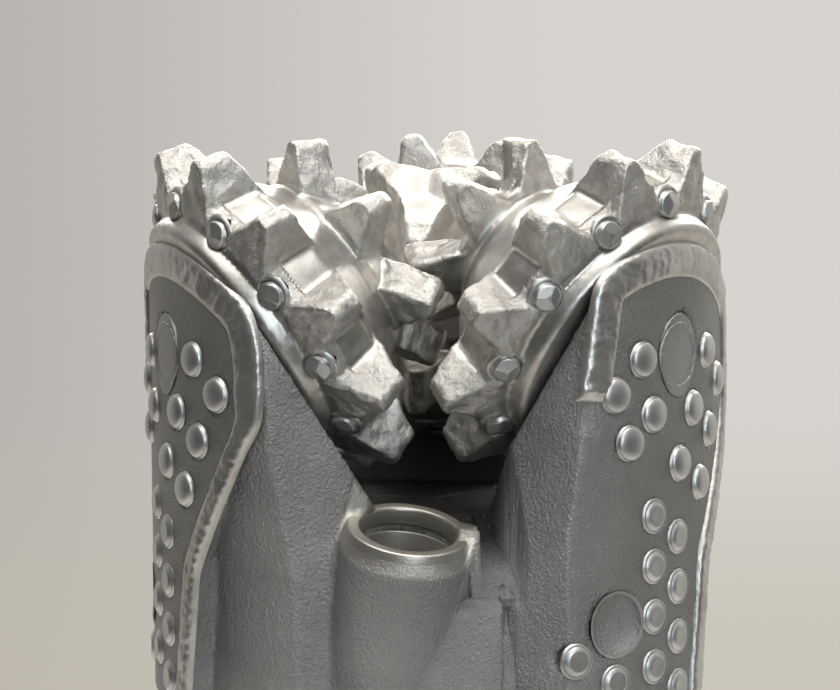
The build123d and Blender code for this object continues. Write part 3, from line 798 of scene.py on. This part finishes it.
def carbide_grey():
    material, t = material_tree("painted_carbide")
    at = t.add("ShaderNodeTexCoord", {}, {}, "Object")
    cloud, grain = t.noise(at, 90.0, 4.0, 0.6), t.noise(at, 1500.0, 3.0, 0.6)
    base = t.mix(cloud.clamped(0.35, 0.7), (0.50, 0.50, 0.495), (0.62, 0.615, 0.60))
    finish_surface(t, base, 0.34 + 0.12 * grain, 0.90, grain, 0.00006)
    return material


UP, HERE = Vector((0, 0, 1)), Vector()
DOME_R, DOME_RISE, FLAT_R, FLAT_RISE = 0.0060, 0.0026, 0.0056, 0.0014
dome_curve = [(DOME_R + 0.0006, -0.0004), (DOME_R + 0.0002, 0.0)] + [
    (DOME_R * math.cos(a), 0.0002 + (DOME_RISE - 0.0004) * math.sin(a))
    for a in np.linspace(0.05, math.pi / 2 - 0.001, 14)]
flat_curve = [(FLAT_R + 0.0009, -0.0006), (FLAT_R + 0.0004, 0.0003), (FLAT_R, 0.0004),
              (FLAT_R - 0.0002, 0.0001), (FLAT_R - 0.0004, 0.0004), (FLAT_R - 0.0017, 0.0012),
              (FLAT_R - 0.0020, FLAT_RISE - 0.0001), (FLAT_R - 0.0023, FLAT_RISE - 0.0001),
              (0.00002, FLAT_RISE - 0.00025)]
dome_shape = shape_only(turned_sheet("dome_shape", dome_curve, HERE, UP, 40))
flat_shape = shape_only(turned_sheet("flat_shape", flat_curve, HERE, UP, 40))
for shape in (dome_shape, flat_shape):
    mark(shape.data, "burr", np.zeros(len(shape.data.vertices)))
inserts, carbide = insert_tree(), carbide_grey()
for n in CONES:
    for kind, shape in (("dome_inserts", dome_shape), ("flat_inserts", flat_shape)):
        middles = islands(f"{kind}_{n}")
        faces = outward_of(middles)
        places = [way * LEG_R + Vector((0, 0, m.z)) for m, way in zip(middles, faces)]
        row = seats(f"pressed_{kind}_{n}", places, faces)
        grown(row, inserts, Material=carbide, Insert=shape)
        fitted(row, "carbide", BIT, f"{kind}_{n}")

# ---- cones ---------------------------------------------------------------------------------
# Machined steel cones with milled teeth. Welded carbide covers the teeth in rough lumps, and the
# lands between the rows stay smooth. The paint is brighter than on the legs.
CONE_SKIN = 0.0009
CONE_REACH = 0.10785                    # the gauge the heel teeth are ground to


def cone_silver():
    material, t = material_tree("bright_silver_paint")
    at = t.add("ShaderNodeTexCoord", {}, {}, "Object")
    weld = t.add("ShaderNodeAttribute", {"attribute_name": "rough"}, {}, "Fac")
    lumps, pits = t.noise(at, 160.0, 5.0, 0.62), t.noise(at, 560.0, 4.0, 0.7)
    base = t.mix(lumps.clamped(0.35, 0.68), (0.50, 0.485, 0.455), (0.64, 0.625, 0.595))
    base = t.mix(pits.clamped(0.62, 0.74, 0.0, 0.7) * weld, base, (0.22, 0.20, 0.17))
    rough = 0.33 + 0.10 * lumps + 0.14 * pits * weld
    height = (lumps * 0.9 + pits * 0.7) * (0.12 + weld * 0.88)
    finish_surface(t, base, rough, 0.94, height, 0.0008)
    return material


def above_lands(spots, normals, n, cells=70):
    """How far each point stands above the cone's plain shell, found from its own valleys."""
    origin, axis, _, _ = (np.array(v) for v in journal_frame(n))
    reach = spots - origin
    along = reach @ axis
    out = reach - along[:, None] * axis
    radius = np.linalg.norm(out, axis=1)
    outer = (normals * out).sum(axis=1) > 0.3 * radius
    edges = np.linspace(along.min(), along.max(), cells + 1)
    cell = np.clip(np.digitize(along, edges) - 1, 0, cells - 1)
    shell = np.array([np.percentile(radius[outer & (cell == c)], 12)
                      if (outer & (cell == c)).sum() > 30 else np.nan for c in range(cells)])
    known = ~np.isnan(shell)
    middles = (edges[:-1] + edges[1:]) / 2
    shell = np.interp(along, middles[known], shell[known])
    return radius - shell, along


cone_paint = cone_silver()
for n in CONES:
    cone = skinned(copied(f"cone_{n}", f"cutter_{n}"), CONE_SKIN, 8)
    normals = np.empty(len(cone.data.vertices) * 3, dtype=np.float32)
    cone.data.vertex_normals.foreach_get("vector", normals)
    rise, along = above_lands(coordinates(cone.data), normals.reshape(-1, 3), n)
    weld = step(rise, 0.0002, 0.0045) * (1 - step(along, 0.0895, 0.0905))
    mark(cone.data, "rough", np.clip(weld, 0, 1))
    grown(cone, rough_skin, Material=cone_paint, Lump=0.0010, LumpSize=0.0060, Pit=0.0003,
          PitSize=0.0022, Seed=float(n))
    spots = coordinates(cone.data)
    radius = np.hypot(spots[:, 0], spots[:, 1])
    spots[:, :2] *= np.minimum(1, CONE_REACH / radius)[:, None]
    cone.data.vertices.foreach_set("co", spots.ravel())
    fitted(cone, "cone", f"cone_{n}_body", f"cone_{n}")

# ---- gauge trimmers --------------------------------------------------------------------------
# A carbide stud stands between each pair of heel teeth, square to the gauge face. Its head is
# ground to three facets, and weld has splashed up round its spot-faced seat.
TRIMMER_SEAT = (0.08755, 0.05335)       # along and out from the journal axis
TRIMMER_LEAN = math.radians(33.2)
TRIMMER_R = 0.0050


def faceted_stud():
    """Round stud with a three-sided head, in a ragged ring of weld."""
    sectors, rings = 36, 9
    bm = bmesh.new()
    ways = [math.tau * k / 3 for k in range(3)]

    def row(radius, low, head):
        verts = []
        for k in range(sectors):
            angle = math.tau * k / sectors
            height = low
            if head:
                lean = max(math.cos(angle - way) for way in ways)
                height = min(low, 0.0032 - 0.36 * radius * lean)
            verts.append(bm.verts.new((radius * math.cos(angle), radius * math.sin(angle),
                                       height)))
        return verts

    rows = [row(TRIMMER_R + 0.0022, -0.0008, False), row(TRIMMER_R + 0.0016, 0.0003, False),
            row(TRIMMER_R + 0.0009, 0.0004, False), row(TRIMMER_R + 0.0003, -0.0003, False),
            row(TRIMMER_R, -0.0004, False), row(TRIMMER_R, 0.0011, True),
            row(TRIMMER_R - 0.0002, 0.0014, True)]
    rows += [row((TRIMMER_R - 0.0003) * (1 - k / rings), 0.0030, True) for k in range(rings)]
    for low, high in zip(rows, rows[1:]):
        for k in range(sectors):
            bm.faces.new((low[k - 1], low[k], high[k], high[k - 1]))
    tip = bm.verts.new((0, 0, 0.0029))
    for k in range(sectors):
        bm.faces.new((rows[-1][k - 1], rows[-1][k], tip))
    mesh = bpy.data.meshes.new("stud_shape")
    bm.to_mesh(mesh)
    bm.free()
    return bpy.data.objects.new("stud_shape", mesh)


stud = faceted_stud()
mark(stud.data, "burr", [1.0 if math.hypot(v.co.x, v.co.y) > TRIMMER_R + 0.0005 else 0.0
                         for v in stud.data.vertices])
for n in CONES:
    origin, axis, upper, leading = journal_frame(n)
    places, faces = [], []
    for middle in islands(f"trimmers_{n}"):
        reach = middle - origin
        out = (reach - axis * reach.dot(axis)).normalized()
        places.append(origin + axis * TRIMMER_SEAT[0] + out * TRIMMER_SEAT[1])
        faces.append(axis * math.cos(TRIMMER_LEAN) + out * math.sin(TRIMMER_LEAN))
    row = seats(f"gauge_trimmers_{n}", places, faces)
    grown(row, inserts, Material=carbide, Insert=stud, Burr=0.0012)
    fitted(row, "carbide", f"cone_{n}_body", f"trimmers_{n}")

# ---- grease caps and ball plugs -----------------------------------------------------------------
# The grease reservoir is closed by a dished cap, pressed in below the leg's face. The hole the
# balls were loaded through is welded shut, ground flush, and shows as a faint ring.
CAP_R, CAP_DEPTH = 0.0106, 0.0042
PLUG_TURN, PLUG_Z, PLUG_R = 1.0, 0.280, 0.0110          # degrees from the leg's middle, z, radius


def ring_point(centre, normal, radius, turn):
    """Point of a small circle laid round the leg's outside."""
    side = normal.cross(Vector((0, 0, 1)))
    flat = centre + radius * (math.cos(turn) * side + math.sin(turn) * Vector((0, 0, 1)))
    out = Vector((flat.x, flat.y, 0)).normalized()
    return out * LEG_R + Vector((0, 0, flat.z))


dish = [(CAP_R + 0.0012, 0.0002), (CAP_R + 0.0003, 0.0001)] + [
    (CAP_R * math.cos(a), -CAP_DEPTH * math.sin(a)) for a in np.linspace(0, 1.569, 18)]
for n in CONES:
    middle = islands(f"reservoir_cap_{n}")[0]
    out = Vector((middle.x, middle.y, 0)).normalized()
    cap = turned_sheet(f"grease_cap_{n}", dish, out * LEG_R + Vector((0, 0, middle.z)), out, 72)
    mark(cap.data, "rough", np.full(len(cap.data.vertices), 0.6))
    grown(cap, rough_skin, Material=leg_paint, Lump=0.00025, LumpSize=0.006, Pit=0.00008,
          PitSize=0.002, Seed=n * 1.7)
    fitted(cap, "forging", BIT, f"reservoir_cap_{n}")

for n in CONES:
    centre = on_pad(n, PLUG_TURN, PLUG_Z)
    circle = [ring_point(centre, out_at(bearing(n)), PLUG_R, a)
              for a in np.linspace(0, math.tau, 161)]
    plug_ring = band(f"plug_ring_{n}", circle, outward_of(circle), 0.0009, 0, 9)
    grown(plug_ring, bead, Material=leg_paint, Rise=0.00035, Sink=0.0003, Pitch=0.004,
          Ripple=0.15, Lump=0.0003, Seed=n * 2.3)
    fitted(plug_ring, "forging", BIT)

# ---- small parts -------------------------------------------------------------------------------
# Seals, diaphragms, bushings, washers, balls, snap rings, ball plugs and their welds keep their
# CAD solids and take the finish of the real parts.


def plain_finish(name, dark, light, rough, metal, scale=120.0, height=0.0001):
    material, t = material_tree(name)
    at = t.add("ShaderNodeTexCoord", {}, {}, "Object")
    cloud, grain = t.noise(at, scale, 4.0, 0.6), t.noise(at, scale * 9, 3.0, 0.6)
    base = t.mix(cloud.clamped(0.35, 0.7), dark, light)
    finish_surface(t, base, rough + 0.12 * grain, metal, grain, height)
    return material


finishes = {
    "seal": plain_finish("seal_rubber", (0.010, 0.010, 0.011), (0.022, 0.022, 0.022), 0.5, 0.0),
    "diaphragm": plain_finish("diaphragm_rubber", (0.012, 0.012, 0.012), (0.03, 0.03, 0.03),
                              0.55, 0.0),
    "main_bushing": plain_finish("bronze", (0.42, 0.27, 0.12), (0.52, 0.35, 0.17), 0.25, 1.0),
    "balls": plain_finish("ball_steel", (0.60, 0.60, 0.60), (0.70, 0.70, 0.70), 0.08, 1.0),
    "snap_ring": plain_finish("spring_steel", (0.20, 0.20, 0.20), (0.30, 0.30, 0.30), 0.3, 1.0),
    "plug_weld": leg_paint,
    "ball_plug": plain_finish("plug_steel", (0.40, 0.40, 0.39), (0.50, 0.50, 0.49), 0.25, 1.0),
}
for same, like in (("pilot_bushing", "main_bushing"), ("thrust_washer", "main_bushing")):
    finishes[same] = finishes[like]
for kind, finish in finishes.items():
    for n in CONES:
        frame["nodes"][f"{kind}_{n}"].data.materials.clear()
        frame["nodes"][f"{kind}_{n}"].data.materials.append(finish)
